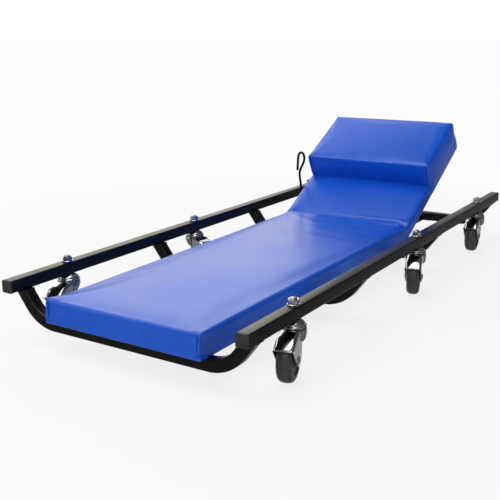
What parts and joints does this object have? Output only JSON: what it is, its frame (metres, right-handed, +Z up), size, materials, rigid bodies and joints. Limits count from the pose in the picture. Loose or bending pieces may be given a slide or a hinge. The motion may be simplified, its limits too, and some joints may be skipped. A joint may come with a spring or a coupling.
{
  "type": "mechanics creeper",
  "caption": "Low rolling board on swivel casters for lying under a vehicle, with tubular side rails, a padded deck and a folding, propped headrest with a pillow.",
  "frame": {"origin": "on the floor, under the middle of the bounding box", "axes": "+X to the right of someone lying on it facing up with the head at +Y, +Y toward the head end, +Z up"},
  "size_m": [0.4529, 1.035, 0.258],
  "materials": {
    "frame_paint": "gloss black powder coat",
    "cap_plastic": "moulded black plastic",
    "pad_vinyl": "smooth royal blue vinyl with a fine grain",
    "plywood": "raw plywood",
    "zinc_plate": "bright zinc plate",
    "bolt_steel": "blackened steel",
    "rod_steel": "black coated wire",
    "fork_chrome": "bright chrome plate",
    "wheel_rubber": "moulded black wheel"
  },
  "bodies": {
    "root": {"right_rail": "frame_paint", "right_rail_cap_foot": "cap_plastic", "right_rail_cap_head": "cap_plastic", "left_rail": "frame_paint", "left_rail_cap_foot": "cap_plastic", "left_rail_cap_head": "cap_plastic", "cross_member_1": "frame_paint", "cross_member_2": "frame_paint", "cross_member_3": "frame_paint", "cross_member_4": "frame_paint", "main_board": "plywood", "main_cushion": "pad_vinyl", "right_hinge_fixed_leaf": "zinc_plate", "right_hinge_pin": "bolt_steel", "right_support_bar": "frame_paint", "right_bar_bolt_foot": "bolt_steel", "right_bar_bolt_head": "bolt_steel", "left_hinge_fixed_leaf": "zinc_plate", "left_hinge_pin": "bolt_steel", "left_support_bar": "frame_paint", "left_bar_bolt_foot": "bolt_steel", "left_bar_bolt_head": "bolt_steel", "right_caster_1_stem": "zinc_plate", "right_caster_1_nut": "zinc_plate", "right_caster_2_stem": "zinc_plate", "right_caster_2_nut": "zinc_plate", "right_caster_3_stem": "zinc_plate", "right_caster_3_nut": "zinc_plate", "left_caster_1_stem": "zinc_plate", "left_caster_1_nut": "zinc_plate", "left_caster_2_stem": "zinc_plate", "left_caster_2_nut": "zinc_plate", "left_caster_3_stem": "zinc_plate", "left_caster_3_nut": "zinc_plate"},
    "headrest": {"head_board": "plywood", "head_cushion": "pad_vinyl", "pillow": "pad_vinyl", "right_hinge_moving_leaf": "zinc_plate", "left_hinge_moving_leaf": "zinc_plate"},
    "prop": {"prop_rod": "rod_steel", "rod_retainer": "zinc_plate"},
    "right_caster_1_swivel": {"right_caster_1_fork": "fork_chrome", "right_caster_1_axle": "zinc_plate"},
    "right_caster_1_roller": {"right_caster_1_wheel": "wheel_rubber"},
    "right_caster_2_swivel": {"right_caster_2_fork": "fork_chrome", "right_caster_2_axle": "zinc_plate"},
    "right_caster_2_roller": {"right_caster_2_wheel": "wheel_rubber"},
    "right_caster_3_swivel": {"right_caster_3_fork": "fork_chrome", "right_caster_3_axle": "zinc_plate"},
    "right_caster_3_roller": {"right_caster_3_wheel": "wheel_rubber"},
    "left_caster_1_swivel": {"left_caster_1_fork": "fork_chrome", "left_caster_1_axle": "zinc_plate"},
    "left_caster_1_roller": {"left_caster_1_wheel": "wheel_rubber"},
    "left_caster_2_swivel": {"left_caster_2_fork": "fork_chrome", "left_caster_2_axle": "zinc_plate"},
    "left_caster_2_roller": {"left_caster_2_wheel": "wheel_rubber"},
    "left_caster_3_swivel": {"left_caster_3_fork": "fork_chrome", "left_caster_3_axle": "zinc_plate"},
    "left_caster_3_roller": {"left_caster_3_wheel": "wheel_rubber"}
  },
  "joints": [
    {"name": "headrest_tilt", "type": "hinge", "parent": "root", "child": "headrest", "pos_m": [0, 0.1598, 0.0407], "axis": [1, 0, 0], "range_deg": [-29, 0]},
    {"name": "prop_rod_turn", "type": "hinge", "parent": "root", "child": "prop", "pos_m": [0, 0.2845, 0.0345], "axis": [1, 0, 0], "range_deg": [-78.01, 0]},
    {"name": "right_caster_1_swivel_turn", "type": "hinge", "parent": "root", "child": "right_caster_1_swivel", "pos_m": [0.203, -0.3919, 0.06], "axis": [0, 0, 1], "continuous": true},
    {"name": "right_caster_1_wheel_spin", "type": "hinge", "parent": "right_caster_1_swivel", "child": "right_caster_1_roller", "pos_m": [0.20921, -0.41508, 0.0315], "axis": [0.9659, 0.2588, 0], "continuous": true},
    {"name": "right_caster_2_swivel_turn", "type": "hinge", "parent": "root", "child": "right_caster_2_swivel", "pos_m": [0.203, 0.0448, 0.06], "axis": [0, 0, 1], "continuous": true},
    {"name": "right_caster_2_wheel_spin", "type": "hinge", "parent": "right_caster_2_swivel", "child": "right_caster_2_roller", "pos_m": [0.21002, 0.02185, 0.0315], "axis": [0.9563, 0.2924, 0], "continuous": true},
    {"name": "right_caster_3_swivel_turn", "type": "hinge", "parent": "root", "child": "right_caster_3_swivel", "pos_m": [0.203, 0.3858, 0.06], "axis": [0, 0, 1], "continuous": true},
    {"name": "right_caster_3_wheel_spin", "type": "hinge", "parent": "right_caster_3_swivel", "child": "right_caster_3_roller", "pos_m": [0.20572, 0.36195, 0.0315], "axis": [0.9936, 0.1132, 0], "continuous": true},
    {"name": "left_caster_1_swivel_turn", "type": "hinge", "parent": "root", "child": "left_caster_1_swivel", "pos_m": [-0.203, -0.3937, 0.06], "axis": [0, 0, 1], "continuous": true},
    {"name": "left_caster_1_wheel_spin", "type": "hinge", "parent": "left_caster_1_swivel", "child": "left_caster_1_roller", "pos_m": [-0.19679, -0.41688, 0.0315], "axis": [0.9659, 0.2588, 0], "continuous": true},
    {"name": "left_caster_2_swivel_turn", "type": "hinge", "parent": "root", "child": "left_caster_2_swivel", "pos_m": [-0.203, -0.0586, 0.06], "axis": [0, 0, 1], "continuous": true},
    {"name": "left_caster_2_wheel_spin", "type": "hinge", "parent": "left_caster_2_swivel", "child": "left_caster_2_roller", "pos_m": [-0.18045, -0.06681, 0.0315], "axis": [0.342, 0.9397, 0], "continuous": true},
    {"name": "left_caster_3_swivel_turn", "type": "hinge", "parent": "root", "child": "left_caster_3_swivel", "pos_m": [-0.203, 0.405, 0.06], "axis": [0, 0, 1], "continuous": true},
    {"name": "left_caster_3_wheel_spin", "type": "hinge", "parent": "left_caster_3_swivel", "child": "left_caster_3_roller", "pos_m": [-0.17982, 0.39879, 0.0315], "axis": [0.2588, 0.9659, 0], "continuous": true}
  ],
  "couplings": [
    {"joint": "prop_rod_turn", "follows": "headrest_tilt", "ratio": 2.6897}
  ]
}
